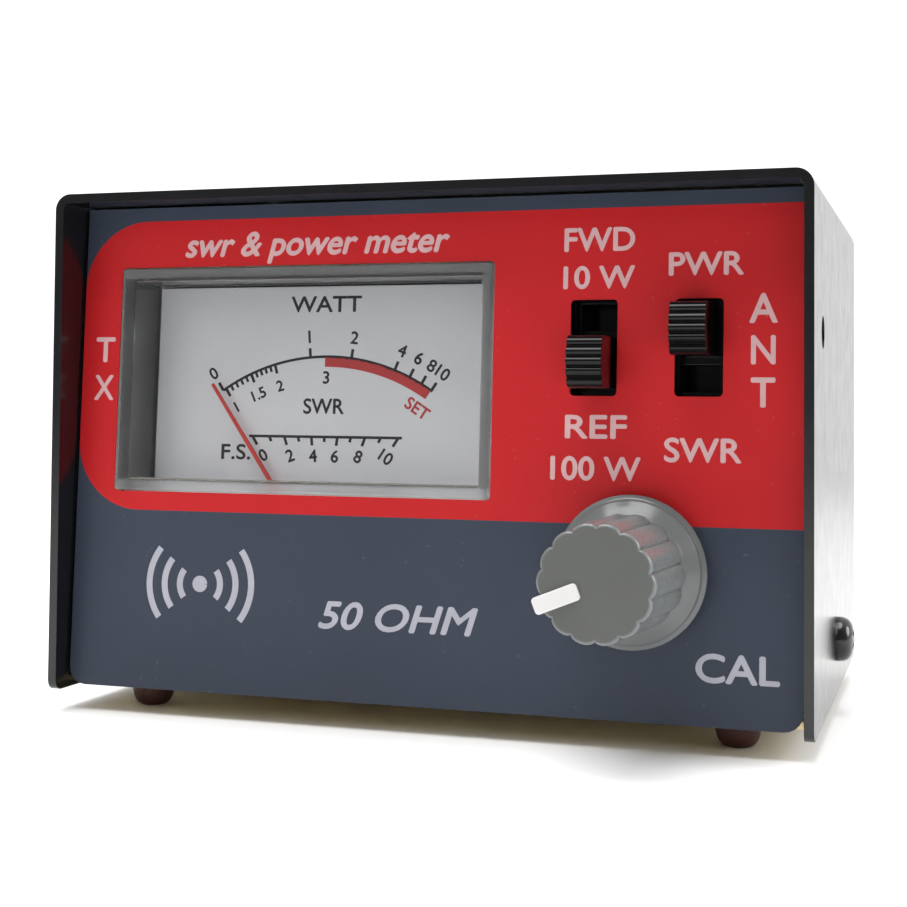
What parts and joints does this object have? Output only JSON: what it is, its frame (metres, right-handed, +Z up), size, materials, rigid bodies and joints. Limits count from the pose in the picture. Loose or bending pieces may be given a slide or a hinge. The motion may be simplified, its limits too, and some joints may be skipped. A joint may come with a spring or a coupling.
{
  "type": "swr meter",
  "caption": "Bench SWR and power meter: hooded folded-steel case, needle meter, slide switches, calibration knob and rear coaxial sockets.",
  "frame": {"origin": "on the surface that the feet stand on, below the middle of the whole object", "axes": "+Z up, the front panel faces -Y, +X to the right as seen from the front"},
  "size_m": [0.1072, 0.1016, 0.071],
  "materials": {
    "black_paint": "gloss powder coat",
    "zinc": "yellow passivated zinc",
    "label": "satin print",
    "black_screw": "black oxide",
    "rubber_foot": "matt",
    "clear": "clear moulding",
    "dial": "satin silver",
    "black_plastic": "glossy",
    "needle_red": "satin",
    "foam": "closed-cell foam tape",
    "magnet": "matt",
    "steel": "plain",
    "brass": "plain",
    "copper_coil": "enamelled winding",
    "nickel": "nickel plate",
    "circuit_board": "paper laminate",
    "diode_glass": "glass body",
    "resistor_body": "lacquered",
    "knob_grey": "satin moulding",
    "white_plastic": "glossy",
    "wire_red": "vinyl",
    "wire_black": "vinyl",
    "wire_yellow": "vinyl",
    "wire_blue": "vinyl"
  },
  "bodies": {
    "root": {"chassis": "zinc", "cover": "black_paint", "front_label": "label", "cover_screw_left": "black_screw", "cover_screw_right": "black_screw", "foot_front_left": "rubber_foot", "foot_front_right": "rubber_foot", "foot_rear_left": "rubber_foot", "foot_rear_right": "rubber_foot", "meter_lens": "clear", "meter_case": "black_plastic", "scale_plate": "dial", "meter_foam_pad": "foam", "magnet_ring": "magnet", "yoke_ring": "steel", "iron_core": "steel", "bridge_front": "brass", "bridge_rear": "brass", "jewel_front": "brass", "jewel_rear": "brass", "hairspring_front": "copper_coil", "hairspring_rear": "copper_coil", "meter_terminal_left": "brass", "meter_terminal_right": "brass", "control_board": "circuit_board", "range_switch_housing": "black_plastic", "function_switch_housing": "black_plastic", "pot_body": "steel", "pot_bushing": "nickel", "coupler_board": "circuit_board", "diode_forward": "diode_glass", "diode_reflected": "diode_glass", "resistor_forward": "resistor_body", "resistor_reflected": "resistor_body", "tx_socket_shell": "nickel", "tx_socket_insulator": "white_plastic", "tx_socket_contact": "brass", "tx_socket_screw_1": "nickel", "tx_socket_screw_2": "nickel", "ant_socket_shell": "nickel", "ant_socket_insulator": "white_plastic", "ant_socket_contact": "brass", "ant_socket_screw_1": "nickel", "ant_socket_screw_2": "nickel", "meter_wire_positive": "wire_red", "meter_wire_negative": "wire_black", "sense_wire_forward": "wire_yellow", "sense_wire_reflected": "wire_blue"},
    "needle": {"needle": "needle_red", "moving_coil": "copper_coil", "spindle_front": "steel", "spindle_rear": "steel"},
    "knob": {"knob": "knob_grey", "knob_pointer": "white_plastic", "pot_shaft": "white_plastic", "pot_wiper": "brass"},
    "range_lever": {"range_switch_lever": "black_plastic", "range_switch_contact": "brass"},
    "function_lever": {"function_switch_lever": "black_plastic", "function_switch_contact": "brass"}
  },
  "joints": [
    {"name": "needle_swing", "type": "hinge", "parent": "root", "child": "needle", "pos_m": [-0.0162, -0.02147, 0.02116], "axis": [0, 0.9986, -0.0523], "range_deg": [0, 73], "stiffness_Nm_per_rad": 0.002},
    {"name": "knob_turn", "type": "hinge", "parent": "root", "child": "knob", "pos_m": [0.029, -0.03243, 0.0221], "axis": [0, 0.9996, -0.0279], "range_deg": [-28, 252]},
    {"name": "range_switch_slide", "type": "slide", "parent": "root", "child": "range_lever", "axis": [0, 0, 1], "range_m": [0, 0.00405]},
    {"name": "function_switch_slide", "type": "slide", "parent": "root", "child": "function_lever", "axis": [0, 0, -1], "range_m": [0, 0.00405]}
  ]
}
